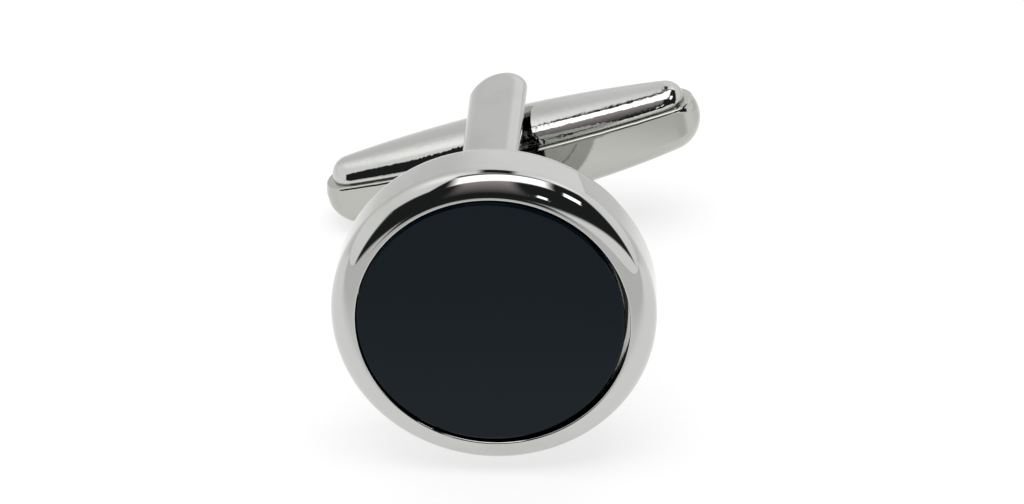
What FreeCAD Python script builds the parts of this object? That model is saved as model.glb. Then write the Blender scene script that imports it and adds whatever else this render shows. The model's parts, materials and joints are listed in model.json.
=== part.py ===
import FreeCAD, Part
import math
import os
import Sketcher

# A swivel-back cufflink: a round polished face with a flat stone set in it,
# a yoke standing on its back, and a torpedo toggle that turns on a pin
# between the two arms of the yoke.
#
# Every piece is drawn in one frame of the object: y runs along the post from
# the front of the face to the back, x along the toggle, z along the pivot pin.
# The pieces that turn with the toggle are drawn about the pivot.
# One common placement then lays the whole cufflink down as it rests on a table.

# Driving sizes in millimetres, each set by itself.
DRIVING = {
    # Face: a deep cup with a rounded rim.
    "face_radius": 8.0,  # outside radius of the face
    "front_round": 1.15,  # rounding of the front edge
    "back_round": 1.2,  # rounding of the back edge
    "rim_flat": 0.05,  # flat of the rim, between the rounding and the lip
    "lip_round": 0.08,  # rounding of the lip at the opening
    "web_thickness": 0.7,  # floor of the cup under the stone
    "hollow_depth": 1.07,  # hollow between the floor and the back cover
    # Stone and the adhesive under it.
    "stone_recess": 0.08,  # stone below the lip
    "stone_gap": 0.13,  # clearance around the stone
    "bevel_width": 0.1,  # bevel of the stone, across
    "bevel_drop": 0.08,  # bevel of the stone, down
    "stone_thickness": 1.2,  # thickness of the stone
    "glue_thickness": 0.15,  # thickness of the adhesive
    # Cover that closes the back of the cup.
    "back_flat": 0.28,  # flat of the back rim around the cover
    "cover_fit": 0.02,  # clearance of the cover in the cup
    "cover_thickness": 0.8,  # thickness of the back cover
    "ledge_width": 0.5,  # ledge that the cover sits on
    # Toggle: a deep tray with a shallow lid on it.
    "toggle_half": 10.4,  # half length of the tray
    "toggle_radius": 2.62,  # radius of the tray at the middle
    "toggle_end": 1.85,  # radius of the tray at its ends
    "flank_inset": 0.05,  # straight flanks of the tray inside its round
    "lid_inset": 0.1,  # lid smaller than the tray at the middle
    "lid_short": 0.4,  # lid shorter than the tray at each end
    "seam_height": 0.9,  # height of the seam above the axis
    "shell_thickness": 0.5,  # wall of both shells
    # Yoke with two arms.
    "side_clearance": 0.26,  # toggle to arm
    "end_clearance": 0.35,  # end of the toggle to the bottom of the yoke
    "arm_thickness": 0.54,  # thickness of an arm
    "arm_half": 1.55,  # half width of an arm
    "arm_round": 0.4,  # rounding along the outside of an arm
    "nose_length": 2.3,  # length of the rounded end of an arm
    "nose_radius": 1.1,  # tip radius of an arm
    "pin_to_end": 3.45,  # pivot to the end of an arm
    # Stem that carries the yoke.
    "neck_radius": 1.3,  # radius of the neck
    "neck_length": 3.84,  # back of the face to the outside of the yoke
    "neck_flare": 0.7,  # hollow rounding between foot and neck
    "foot_radius": 2.9,  # radius of the foot on the back cover
    "foot_thickness": 0.85,  # thickness of the foot
    "foot_sink": 0.15,  # foot let into the back cover
    "tenon_radius": 1.2,  # tenon through the back cover
    "tenon_fit": 0.02,  # clearance of the tenon
    "tail_radius": 1.9,  # riveted tail inside the cup
    "tail_thickness": 0.5,  # thickness of the riveted tail
    "rivet_radius": 0.85,  # upper tenon of the stem, in the yoke
    "rivet_fit": 0.02,  # clearance of the upper tenon
    "rivet_short": 0.05,  # end of the upper tenon below the inside of the bend
    # Pivot pin.
    "pin_radius": 0.8,  # radius of the pivot pin
    "pin_fit": 0.05,  # running clearance of the pin in the shells
    "flat_depth": 0.18,  # flats of the squared middle below the round
    "flat_margin": 0.3,  # squared middle beyond the springs
    # Two leaf springs that hold the toggle at its stops.
    "spring_lift": 0.04,  # spring to the corners of the squared middle
    "spring_thickness": 0.2,  # thickness of a leaf spring
    "spring_half_width": 0.8,  # half width of a leaf spring
    "spring_end": 4.3,  # end of a spring from the end of the toggle
    "spring_fit": 0.06,  # end of a spring to the wall of the tray
    # Room that a cutting outline has beyond the piece it cuts.
    "cut_margin": 1.0,
}

doc = FreeCAD.newDocument("cufflink")
sizes = doc.addObject("Spreadsheet::Sheet", "sizes")
rows = {"used": 0}


def size(alias, text, note):
    """Puts one named size in the sheet; a formula starts with an equals sign."""
    rows["used"] += 1
    line = rows["used"]
    sizes.set(f"A{line}", note)
    sizes.set(f"B{line}", text)
    sizes.setAlias(f"B{line}", alias)


for alias, number in DRIVING.items():
    size(alias, str(number), "driving size")

# Face: radii, and stations along the post from the front lip.
size("rim_front", "=face_radius - front_round", "start of the front rounding")
size("lip_flat", "=rim_front - rim_flat", "lip behind its rounding")
size("lip_radius", "=lip_flat - lip_round", "opening for the stone")
size("stone_radius", "=lip_radius - stone_gap", "outside of the stone")
size("stone_flat", "=stone_radius - bevel_width", "flat of the stone")
size("stone_edge", "=stone_recess + bevel_drop", "lower edge of the bevel")
size("stone_back", "=stone_recess + stone_thickness", "back of the stone")
size("seat_depth", "=stone_back + glue_thickness", "seat of the stone")
size("web_back", "=seat_depth + web_thickness", "back of the cup's floor")
size("cover_front", "=web_back + hollow_depth", "inner side of the cover")
size("face_depth", "=cover_front + cover_thickness", "front lip to back rim")
size("rim_back", "=face_radius - back_round", "end of the back rounding")
size("rim_low", "=face_depth - back_round", "start of the back rounding")
size("recess_radius", "=rim_back - back_flat", "recess for the cover")
size("cover_radius", "=recess_radius - cover_fit", "outside of the cover")
size("cavity_radius", "=cover_radius - ledge_width", "hollow behind the floor")

# Stem: stations along the post.
size("bore_radius", "=tenon_radius + tenon_fit", "hole in the cover")
size("tail_front", "=cover_front - tail_thickness", "front of the riveted tail")
size("sink_radius", "=foot_radius + tenon_fit", "seat of the foot in the cover")
size("foot_front", "=face_depth - foot_sink", "bottom of that seat")
size("foot_back", "=foot_front + foot_thickness", "back of the foot")
size("flare_radius", "=neck_radius + neck_flare", "start of the flare")
size("flare_end", "=foot_back + neck_flare", "end of the flare")

# Yoke: gap, outside and stations.
size("gap_half", "=toggle_radius + side_clearance", "half gap of the yoke")
size("arm_out", "=gap_half + arm_thickness", "outside of the arms")
size("bend_out", "=face_depth + neck_length", "outside of the bend")
size("bend_centre", "=bend_out + arm_out", "centre of the bend")
size("bend_in", "=bend_centre - gap_half", "inside of the bend")
size("pivot_y", "=bend_in + end_clearance + toggle_half", "pivot")
size("arm_end", "=pivot_y + pin_to_end", "end of the arms")
size("arm_straight", "=arm_end - nose_length", "start of the rounded end")
size("rivet_top", "=bend_in - rivet_short", "end of the upper tenon")
size("rivet_hole", "=rivet_radius + rivet_fit", "hole in the bend")
size("nose_y", "=arm_end - nose_radius", "centre of the tip")
size("nose_run", "=nose_y - arm_straight", "tip centre from the straight")
size(
    "shoulder_radius",
    "=(arm_half^2 + nose_run^2 - nose_radius^2) / (2 * (arm_half - nose_radius))",
    "side rounding of an arm's end",
)
size("shoulder_x", "=arm_half - shoulder_radius", "centre of that rounding")
size(
    "join_x",
    "=nose_radius * (shoulder_radius - arm_half) / (shoulder_radius - nose_radius)",
    "where the tip meets the side rounding, across",
)
size(
    "join_y",
    "=nose_y + nose_radius * nose_run / (shoulder_radius - nose_radius)",
    "where the tip meets the side rounding, along",
)
size("clear_x", "=arm_half + cut_margin", "outside of an arm, across")
size("clear_y", "=arm_end + cut_margin", "beyond the end of an arm")

# Pivot pin: a squared middle between round ends.
size("flat_half", "=pin_radius - flat_depth", "axis to a flat")
size("flat_reach", "=spring_half_width + flat_margin", "half length of the squared middle")
size("pin_clear", "=pin_radius + cut_margin", "outside of the pin")


def torpedo_sizes(prefix, half, radius, end, note):
    """Adds the stations of a torpedo outline: two round ends and a barrel."""
    size(prefix + "_half", half, note + ", half length")
    size(prefix + "_radius", radius, note + ", radius at the middle")
    size(prefix + "_end", end, note + ", radius of the ends")
    size(prefix + "_centre", f"={prefix}_half - {prefix}_end", note + ", end centre")
    size(
        prefix + "_barrel",
        f"=({prefix}_centre^2 + {prefix}_radius^2 - {prefix}_end^2)"
        f" / (2 * ({prefix}_radius - {prefix}_end))",
        note + ", barrel radius",
    )
    size(prefix + "_low", f"={prefix}_radius - {prefix}_barrel", note + ", barrel centre")
    size(
        prefix + "_tx",
        f"={prefix}_centre * {prefix}_barrel / ({prefix}_barrel - {prefix}_end)",
        note + ", end of the barrel, along",
    )
    size(
        prefix + "_ty",
        f"={prefix}_end * ({prefix}_barrel - {prefix}_radius)"
        f" / ({prefix}_barrel - {prefix}_end)",
        note + ", end of the barrel, out",
    )


torpedo_sizes("tray", "=toggle_half", "=toggle_radius", "=toggle_end", "tray outside")
torpedo_sizes(
    "flank",
    "=toggle_half",
    "=sqrt(toggle_radius^2 - seam_height^2) - flank_inset",
    "=sqrt(toggle_end^2 - seam_height^2) - flank_inset",
    "flanks of the tray",
)
torpedo_sizes(
    "core",
    "=toggle_half - shell_thickness",
    "=toggle_radius - shell_thickness",
    "=toggle_end - shell_thickness",
    "hollow of the tray",
)
torpedo_sizes(
    "lid",
    "=toggle_half - lid_short",
    "=toggle_radius - lid_inset",
    "=toggle_end - lid_inset",
    "lid outside",
)
torpedo_sizes(
    "vault",
    "=lid_half - shell_thickness",
    "=lid_radius - shell_thickness",
    "=lid_end - shell_thickness",
    "hollow of the lid",
)
size("shell_hole", "=pin_radius + pin_fit", "pin hole in the shells")
size("trim_x", "=toggle_half + cut_margin", "beyond the toggle, along")
size("trim_y", "=toggle_radius + cut_margin", "beyond the toggle, across")
size("trim_depth", "=seam_height + trim_y", "beyond the toggle, up and down")

# Springs: a slight bow towards the pin, the ends against the wall of the tray.
size("spring_half", "=toggle_half - spring_end", "half length of a spring")
size("spring_wall", "=core_low + sqrt(core_barrel^2 - spring_half^2)", "wall at its end")
size("spring_near", "=pin_radius + spring_lift", "spring to the pin's axis")
size("spring_back", "=spring_near + spring_thickness", "back of the spring")
size(
    "spring_tip_back",
    "=sqrt(spring_wall^2 - spring_half_width^2) - spring_fit",
    "end of the spring, back",
)
size("spring_tip", "=spring_tip_back - spring_thickness", "end of the spring, front")
size("spring_bow", "=spring_tip - spring_near", "bow of the spring")
size("spring_curve", "=(spring_half^2 + spring_bow^2) / (2 * spring_bow)", "bow radius")
size("spring_centre", "=spring_near + spring_curve", "centre of the bow")
size("spring_top", "=spring_centre + spring_thickness", "centre of the bow's back")

# How the cufflink lies: on the back rim of the face, on the tip of the lower
# arm and on one end of the toggle. Roll and lean settle in three rounds.
size("tip_low", "=arm_out - arm_round", "rounding of the arm's tip, out")
size("tip_turn", "=nose_radius - arm_round", "rounding of the arm's tip, around")


def rest_sizes(step, roll, lean):
    """One round: roll, then lean, from the roll and lean before it."""
    size(
        f"tip_{step}",
        f"=arm_round + tip_turn * sqrt((cos({lean}) * sin({roll}))^2 + sin({lean})^2)",
        "lowest point of the arm's tip under its centre",
    )
    size(
        f"roll_{step}",
        f"=asin((tip_{step} - toggle_end + (nose_y - pivot_y) * sin({lean}))"
        f" / cos({lean}) / sqrt(tray_centre^2 + tip_low^2)) + atan(tip_low / tray_centre)",
        "roll about the post",
    )
    size(f"drop_{step}", f"=rim_back - tip_low * cos(roll_{step})", "rim below the arm")
    size(
        f"lean_{step}",
        f"=asin((back_round - tip_{step}) / sqrt(drop_{step}^2 + (nose_y - rim_low)^2))"
        f" + atan(drop_{step} / (nose_y - rim_low))",
        "lean of the post",
    )


size("roll_start", "=16 deg", "first roll")
size("lean_start", "=13 deg", "first lean")
rest_sizes("first", "roll_start", "lean_start")
rest_sizes("second", "roll_first", "lean_first")
rest_sizes("third", "roll_second", "lean_second")
size("shift_x", "0", "move to the middle of the footprint, across")
size("shift_y", "0", "move to the middle of the footprint, along")
size("shift_z", "0", "lift to the table")
doc.recompute()

REST = (
    "placement(vector(sizes.shift_x; sizes.shift_y; sizes.shift_z);"
    " rotation(vector(1; 0; 0); -sizes.lean_third)"
    " * rotation(vector(0; 1; 0); -sizes.roll_third))"
)
PIVOT = REST + " * placement(vector(0; sizes.pivot_y; 0); rotation(0; 0; 0))"


def value(word):
    """Number behind a size; a leading minus and a plain zero are allowed."""
    if word == "0":
        return 0.0
    if word.startswith("-"):
        return -value(word[1:])
    return float(sizes.get(word))


def bound(word):
    """Formula that ties a dimension to a size."""
    if word.startswith("-"):
        return "-sizes." + word[1:]
    return "sizes." + word


def new_body(name, rest):
    body = doc.addObject("PartDesign::Body", name)
    body.Label = name
    body.setExpression("Placement", rest)
    return body


def new_sketch(body, name, role="XY_Plane"):
    plane = [item for item in body.Origin.OriginFeatures if item.Role == role][0]
    sketch = body.newObject("Sketcher::SketchObject", name)
    sketch.AttachmentSupport = [(plane, "")]
    sketch.MapMode = "FlatFace"
    return sketch


def tie(sketch, kind, geo, pos, word, name):
    """Ties one coordinate of a point to a size, or puts it on an axis."""
    if word == "0":
        axis = -2 if kind == "DistanceX" else -1
        sketch.addConstraint(Sketcher.Constraint("PointOnObject", geo, pos, axis))
        return
    number = sketch.addConstraint(
        Sketcher.Constraint(kind, -1, 1, geo, pos, value(word))
    )
    sketch.renameConstraint(number, name)
    sketch.setExpression("Constraints." + name, bound(word))


def outline(sketch, corners):
    """Draws a closed outline. A corner is (x, y), or (x, y, centre x, centre y,
    tied coordinate, turn) when the side after it is an arc."""
    count = len(corners)
    ends = []
    for k in range(count):
        here = corners[k]
        after = corners[(k + 1) % count]
        p = FreeCAD.Vector(value(here[0]), value(here[1]), 0)
        q = FreeCAD.Vector(value(after[0]), value(after[1]), 0)
        if len(here) == 2:
            geo = sketch.addGeometry(Part.LineSegment(p, q), False)
            ends.append((geo, 1, 2))
            continue
        c = FreeCAD.Vector(value(here[2]), value(here[3]), 0)
        first = math.atan2(p.y - c.y, p.x - c.x)
        last = math.atan2(q.y - c.y, q.x - c.x)
        circle = Part.Circle(c, FreeCAD.Vector(0, 0, 1), (p - c).Length)
        if here[5] == "left":
            geo = sketch.addGeometry(Part.ArcOfCircle(circle, first, last), False)
            ends.append((geo, 1, 2))
        else:
            geo = sketch.addGeometry(Part.ArcOfCircle(circle, last, first), False)
            ends.append((geo, 2, 1))
    for k in range(count):
        geo, start, stop = ends[k]
        after = ends[(k + 1) % count]
        sketch.addConstraint(
            Sketcher.Constraint("Coincident", geo, stop, after[0], after[1])
        )
        tie(sketch, "DistanceX", geo, start, corners[k][0], f"across_{k}")
        tie(sketch, "DistanceY", geo, start, corners[k][1], f"along_{k}")
        if len(corners[k]) > 2 and corners[k][4] == "x":
            tie(sketch, "DistanceX", geo, 3, corners[k][2], f"centre_{k}")
        if len(corners[k]) > 2 and corners[k][4] == "y":
            tie(sketch, "DistanceY", geo, 3, corners[k][3], f"centre_{k}")


def ring(sketch, radius, y="0"):
    """Draws a circle on the y axis."""
    spot = FreeCAD.Vector(0, value(y), 0)
    up = FreeCAD.Vector(0, 0, 1)
    geo = sketch.addGeometry(Part.Circle(spot, up, value(radius)), False)
    tie(sketch, "DistanceX", geo, 3, "0", "across")
    tie(sketch, "DistanceY", geo, 3, y, "along")
    number = sketch.addConstraint(Sketcher.Constraint("Radius", geo, value(radius)))
    sketch.renameConstraint(number, "radius")
    sketch.setExpression("Constraints.radius", bound(radius))


def turned(body, sketch, name, axis, kind="PartDesign::Revolution"):
    """Turns a sketch a full circle about its own axis."""
    feature = body.newObject(kind, name)
    feature.Profile = sketch
    feature.ReferenceAxis = (sketch, [axis])
    feature.Angle = 360
    doc.recompute()
    return feature


def padded(body, sketch, name, length):
    """Pads a sketch evenly to both sides."""
    feature = body.newObject("PartDesign::Pad", name)
    feature.Profile = sketch
    feature.SideType = "Symmetric"
    feature.setExpression("Length", length)
    doc.recompute()
    return feature


def cut_through(body, sketch, name):
    """Cuts a sketch through the whole piece, to both sides."""
    feature = body.newObject("PartDesign::Pocket", name)
    feature.Profile = sketch
    feature.SideType = "Symmetric"
    feature.Type = "ThroughAll"
    doc.recompute()
    return feature


# Cup of the face: rounded rim, seat for the stone, hollow back.
bezel_cup = new_body("bezel_cup", REST)
cup_outline = new_sketch(bezel_cup, "cup_outline")
outline(
    cup_outline,
    [
        ("0", "seat_depth"),
        ("lip_radius", "seat_depth"),
        ("lip_radius", "lip_round", "lip_flat", "lip_round", "x", "left"),
        ("lip_flat", "0"),
        ("rim_front", "0", "rim_front", "front_round", "x", "left"),
        ("face_radius", "front_round"),
        ("face_radius", "rim_low", "rim_back", "rim_low", "x", "left"),
        ("rim_back", "face_depth"),
        ("recess_radius", "face_depth"),
        ("recess_radius", "cover_front"),
        ("cavity_radius", "cover_front"),
        ("cavity_radius", "web_back"),
        ("0", "web_back"),
    ],
)
turned(bezel_cup, cup_outline, "cup_turned", "V_Axis")

# Flat stone with a bevelled edge.
inlay_stone = new_body("inlay_stone", REST)
stone_outline = new_sketch(inlay_stone, "stone_outline")
outline(
    stone_outline,
    [
        ("0", "stone_recess"),
        ("stone_flat", "stone_recess"),
        ("stone_radius", "stone_edge"),
        ("stone_radius", "stone_back"),
        ("0", "stone_back"),
    ],
)
turned(inlay_stone, stone_outline, "stone_turned", "V_Axis")

# Adhesive between the stone and its seat.
adhesive_bed = new_body("adhesive_bed", REST)
glue_outline = new_sketch(adhesive_bed, "glue_outline")
outline(
    glue_outline,
    [
        ("0", "stone_back"),
        ("stone_radius", "stone_back"),
        ("stone_radius", "seat_depth"),
        ("0", "seat_depth"),
    ],
)
turned(adhesive_bed, glue_outline, "glue_turned", "V_Axis")

# Cover pressed into the back of the cup.
back_cover = new_body("back_cover", REST)
cover_outline = new_sketch(back_cover, "cover_outline")
outline(
    cover_outline,
    [
        ("bore_radius", "cover_front"),
        ("cover_radius", "cover_front"),
        ("cover_radius", "face_depth"),
        ("sink_radius", "face_depth"),
        ("sink_radius", "foot_front"),
        ("bore_radius", "foot_front"),
    ],
)
turned(back_cover, cover_outline, "cover_turned", "V_Axis")

# Yoke: a bent strip with rounded arm ends.
yoke = new_body("yoke", REST)
strip_outline = new_sketch(yoke, "strip_outline", "YZ_Plane")
outline(
    strip_outline,
    [
        ("arm_end", "arm_out"),
        ("bend_centre", "arm_out", "bend_centre", "0", "x", "left"),
        ("bend_centre", "-arm_out"),
        ("arm_end", "-arm_out"),
        ("arm_end", "-gap_half"),
        ("bend_centre", "-gap_half", "bend_centre", "0", "x", "right"),
        ("bend_centre", "gap_half"),
        ("arm_end", "gap_half"),
    ],
)
padded(yoke, strip_outline, "strip_padded", "2 * sizes.arm_half")
nose_outline = new_sketch(yoke, "nose_outline")
outline(
    nose_outline,
    [
        ("arm_half", "arm_straight", "shoulder_x", "arm_straight", "x", "left"),
        ("join_x", "join_y", "0", "nose_y", "y", "left"),
        ("-join_x", "join_y", "-shoulder_x", "arm_straight", "x", "left"),
        ("-arm_half", "arm_straight"),
        ("-clear_x", "arm_straight"),
        ("-clear_x", "clear_y"),
        ("clear_x", "clear_y"),
        ("clear_x", "arm_straight"),
    ],
)
nose_cut = cut_through(yoke, nose_outline, "nose_cut")

outer_edges = []
for number, edge in enumerate(nose_cut.Shape.Edges):
    middle = edge.valueAt((edge.FirstParameter + edge.LastParameter) / 2)
    bend = math.hypot(min(middle.y - value("bend_centre"), 0), middle.z)
    on_skin = abs(bend - value("arm_out")) < 1e-5
    across_bend = abs(middle.y - value("bend_centre")) < 1e-5
    if on_skin and not across_bend:
        outer_edges.append(f"Edge{number + 1}")
arm_rounding = yoke.newObject("PartDesign::Fillet", "arm_rounding")
arm_rounding.Base = (nose_cut, outer_edges)
arm_rounding.setExpression("Radius", "sizes.arm_round")
doc.recompute()
pin_seat = new_sketch(yoke, "pin_seat")
ring(pin_seat, "pin_radius", "pivot_y")
cut_through(yoke, pin_seat, "pin_seat_cut")
stem_seat = new_sketch(yoke, "stem_seat", "XZ_Plane")
ring(stem_seat, "rivet_hole")
cut_through(yoke, stem_seat, "stem_seat_cut")

# Stem: riveted through the back cover, saddled to the bend of the yoke.
stem = new_body("stem", REST)
foot_outline = new_sketch(stem, "foot_outline")
outline(
    foot_outline,
    [
        ("0", "tail_front"),
        ("tail_radius", "tail_front"),
        ("tail_radius", "cover_front"),
        ("tenon_radius", "cover_front"),
        ("tenon_radius", "foot_front"),
        ("foot_radius", "foot_front"),
        ("foot_radius", "foot_back"),
        ("flare_radius", "foot_back", "flare_radius", "flare_end", "x", "right"),
        ("neck_radius", "flare_end"),
        ("neck_radius", "bend_in"),
        ("0", "bend_in"),
    ],
)
turned(stem, foot_outline, "foot_turned", "V_Axis")
saddle = new_sketch(stem, "saddle", "YZ_Plane")
outline(
    saddle,
    [
        ("bend_centre", "arm_out", "bend_centre", "0", "x", "left"),
        ("bend_centre", "-arm_out"),
    ],
)
cut_through(stem, saddle, "saddle_cut")
rivet_outline = new_sketch(stem, "rivet_outline")
outline(
    rivet_outline,
    [
        ("0", "foot_back"),
        ("rivet_radius", "foot_back"),
        ("rivet_radius", "rivet_top"),
        ("0", "rivet_top"),
    ],
)
turned(stem, rivet_outline, "rivet_turned", "V_Axis")

# Pivot pin: round and flush in the arms, squared between the springs.
pivot_pin = new_body("pivot_pin", PIVOT)
pin_outline = new_sketch(pivot_pin, "pin_outline", "XZ_Plane")
outline(
    pin_outline,
    [
        ("0", "-arm_out"),
        ("pin_radius", "-arm_out"),
        ("pin_radius", "arm_out"),
        ("0", "arm_out"),
    ],
)
turned(pivot_pin, pin_outline, "pin_turned", "V_Axis")
pin_flats = new_sketch(pivot_pin, "pin_flats")
outline(
    pin_flats,
    [
        ("-flat_half", "-flat_half"),
        ("flat_half", "-flat_half"),
        ("flat_half", "flat_half"),
        ("-flat_half", "flat_half"),
    ],
)
ring(pin_flats, "pin_clear")
flats_cut = pivot_pin.newObject("PartDesign::Pocket", "flats_cut")
flats_cut.Profile = pin_flats
flats_cut.SideType = "Symmetric"
flats_cut.setExpression("Length", "2 * sizes.flat_reach")
doc.recompute()


def torpedo(sketch, prefix):
    """Draws half of a torpedo outline above the toggle's axis."""
    outline(
        sketch,
        [
            ("-" + prefix + "_half", "0"),
            (prefix + "_half", "0", prefix + "_centre", "0", "x", "left"),
            (prefix + "_tx", prefix + "_ty", "0", prefix + "_low", "y", "left"),
            (
                "-" + prefix + "_tx",
                prefix + "_ty",
                "-" + prefix + "_centre",
                "0",
                "x",
                "left",
            ),
        ],
    )


def straight_flanks(body, name):
    """Cuts the flanks of the tray upright, to an outline seen from above."""
    plan = new_sketch(body, name + "_plan")
    ring(plan, "trim_x")
    outline(
        plan,
        [
            ("flank_half", "0", "flank_centre", "0", "x", "left"),
            ("flank_tx", "flank_ty", "0", "flank_low", "y", "left"),
            ("-flank_tx", "flank_ty", "-flank_centre", "0", "x", "left"),
            ("-flank_half", "0", "-flank_centre", "0", "x", "left"),
            ("-flank_tx", "-flank_ty", "0", "-flank_low", "y", "left"),
            ("flank_tx", "-flank_ty", "flank_centre", "0", "x", "left"),
        ],
    )
    cut_through(body, plan, name + "_flanks")


def shell(name, outside, inside, keep_low):
    """One shell of the toggle: turned, trimmed at the seam, hollow, drilled."""
    body = new_body(name, PIVOT)
    skin = new_sketch(body, name + "_skin")
    torpedo(skin, outside)
    turned(body, skin, name + "_turned", "H_Axis")
    trim = new_sketch(body, name + "_trim")
    trim.setExpression(".AttachmentOffset.Base.z", "sizes.seam_height")
    outline(
        trim,
        [
            ("-trim_x", "-trim_y"),
            ("trim_x", "-trim_y"),
            ("trim_x", "trim_y"),
            ("-trim_x", "trim_y"),
        ],
    )
    cut = body.newObject("PartDesign::Pocket", name + "_trimmed")
    cut.Profile = trim
    cut.Reversed = keep_low
    cut.setExpression("Length", "sizes.trim_depth")
    doc.recompute()
    if keep_low:
        straight_flanks(body, name)
    hollow = new_sketch(body, name + "_hollow")
    torpedo(hollow, inside)
    turned(body, hollow, name + "_hollowed", "H_Axis", "PartDesign::Groove")
    hole = new_sketch(body, name + "_hole")
    ring(hole, "shell_hole")
    cut_through(body, hole, name + "_drilled")
    return body


toggle_tray = shell("toggle_tray", "tray", "core", True)
toggle_lid = shell("toggle_lid", "lid", "vault", False)


def leaf(name, side):
    """One leaf spring, bowed towards the pin, on the given side of it."""
    body = new_body(name, PIVOT)
    strip = new_sketch(body, name + "_strip")
    turn = "left" if side == "" else "right"
    back = "right" if side == "" else "left"
    outline(
        strip,
        [
            ("-spring_half", side + "spring_tip", "0", side + "spring_centre", "y", turn),
            ("spring_half", side + "spring_tip"),
            ("spring_half", side + "spring_tip_back", "0", side + "spring_top", "y", back),
            ("-spring_half", side + "spring_tip_back"),
        ],
    )
    padded(body, strip, name + "_padded", "2 * sizes.spring_half_width")
    return body


spring_outer = leaf("spring_outer", "")
spring_inner = leaf("spring_inner", "-")

bodies = [
    bezel_cup,
    inlay_stone,
    adhesive_bed,
    back_cover,
    yoke,
    stem,
    pivot_pin,
    toggle_tray,
    toggle_lid,
    spring_outer,
    spring_inner,
]
doc.recompute()

# Stand the cufflink on the table, with the middle of its footprint at the origin.
whole = FreeCAD.BoundBox()
for body in bodies:
    whole.add(body.Shape.optimalBoundingBox(False, False))
for alias, move in (
    ("shift_x", -whole.Center.x),
    ("shift_y", -whole.Center.y),
    ("shift_z", -whole.ZMin),
):
    sizes.set(sizes.getCellFromAlias(alias), f"{move:.6f}")
doc.recompute()

for item in doc.Objects:
    if "Invalid" in item.State or "Error" in item.State:
        raise RuntimeError(item.Name + " did not build: " + str(item.State))
for body in bodies:
    if body.Shape.isNull() or not body.Shape.isValid():
        raise RuntimeError(body.Label + " is not a sound solid")
    if len(body.Shape.Solids) != 1:
        raise RuntimeError(body.Label + " is not one solid")

os.makedirs("parts", exist_ok=True)
for body in bodies:
    body.Shape.exportStep("parts/" + body.Label + ".step")
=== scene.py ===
import json
import math

import bmesh
import bpy
from mathutils import Matrix, Vector


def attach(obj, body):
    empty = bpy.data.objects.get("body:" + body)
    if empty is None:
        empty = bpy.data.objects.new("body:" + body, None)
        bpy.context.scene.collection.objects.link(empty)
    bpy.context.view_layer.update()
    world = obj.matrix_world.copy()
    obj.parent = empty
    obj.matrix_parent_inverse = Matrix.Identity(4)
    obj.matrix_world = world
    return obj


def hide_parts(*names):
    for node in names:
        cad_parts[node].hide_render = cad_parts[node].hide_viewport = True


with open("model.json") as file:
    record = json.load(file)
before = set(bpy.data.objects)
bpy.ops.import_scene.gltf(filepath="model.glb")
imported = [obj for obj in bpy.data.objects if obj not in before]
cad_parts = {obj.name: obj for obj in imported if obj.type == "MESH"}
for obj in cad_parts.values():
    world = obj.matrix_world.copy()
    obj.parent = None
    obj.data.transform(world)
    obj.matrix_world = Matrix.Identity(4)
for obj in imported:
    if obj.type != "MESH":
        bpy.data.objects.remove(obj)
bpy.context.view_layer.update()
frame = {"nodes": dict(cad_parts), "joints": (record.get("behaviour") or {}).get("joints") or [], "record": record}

# A swivel-back cufflink: polished plated metal round a flat black stone.
# Pieces are modelled in millimetres in the cufflink's own frame: x along the
# toggle, y along the post from the front lip to the back, z along the pivot pin.
# One placement then lays each piece down as the frame's bodies lie.

MM = 0.001

# Face: a deep cup with a rounded rim.
FACE_RADIUS = 8.0
FRONT_ROUND = 1.15
BACK_ROUND = 1.2
RIM_FLAT = 0.05
LIP_ROUND = 0.08
WEB_THICKNESS = 0.7
HOLLOW_DEPTH = 1.07

# Stone, and the adhesive that it lies on.
STONE_RECESS = 0.08
STONE_GAP = 0.13
BEVEL_WIDTH = 0.1
BEVEL_DROP = 0.08
STONE_EDGE = 0.03
STONE_THICKNESS = 1.2
GLUE_THICKNESS = 0.15
STONE_SHIFT = (-0.11, 0, 0.02)

# Cover that closes the back of the cup.
BACK_FLAT = 0.28
COVER_FIT = 0.02
COVER_THICKNESS = 0.8
LEDGE_WIDTH = 0.5
COVER_EDGE = 0.06

# Toggle: a deep tray with upright flanks.
TOGGLE_HALF = 10.4
TOGGLE_RADIUS = 2.62
TOGGLE_END = 1.85
FLANK_INSET = 0.05
SEAM_HEIGHT = 0.9
SHELL_THICKNESS = 0.5
TRAY_EDGE = 0.16

# Lid of the toggle: shorter than the tray, with an arched section. The shoulder is
# the part of its half width, and at most of its height, that is rounded.
LID_INSET = 0.1
LID_SHORT = 0.6
LID_WIDTH = 2.13
LID_END = 1.35
LID_TOP = 2.33
CROWN_END = 0.95
SHOULDER = 0.56
SHOULDER_LIMIT = 0.8
LID_EDGE = 0.1

# Yoke with two arms. Pillow is how far the rounded edges are pressed flat, and flare
# how much wider an arm is at its end.
SIDE_CLEARANCE = 0.26
END_CLEARANCE = 0.35
ARM_THICKNESS = 0.54
ARM_HALF = 1.55
ARM_ROUND = 0.65
ARM_PILLOW = 0.75
ARM_FLARE = 0.05
NOSE_LENGTH = 2.1
NOSE_RADIUS = 1.25
PIN_TO_END = 3.45

# Stem that carries the yoke.
NECK_RADIUS = 1.3
NECK_LENGTH = 3.84
NECK_FLARE = 0.7
FOOT_RADIUS = 2.9
FOOT_THICKNESS = 0.85
FOOT_SINK = 0.15
TENON_RADIUS = 1.2
TENON_FIT = 0.02
TAIL_RADIUS = 1.9
TAIL_THICKNESS = 0.5
RIVET_RADIUS = 0.85
RIVET_FIT = 0.02
RIVET_SHORT = 0.05
STEM_EDGE = 0.1

# Pivot pin.
PIN_RADIUS = 0.8
PIN_FIT = 0.05

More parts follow.
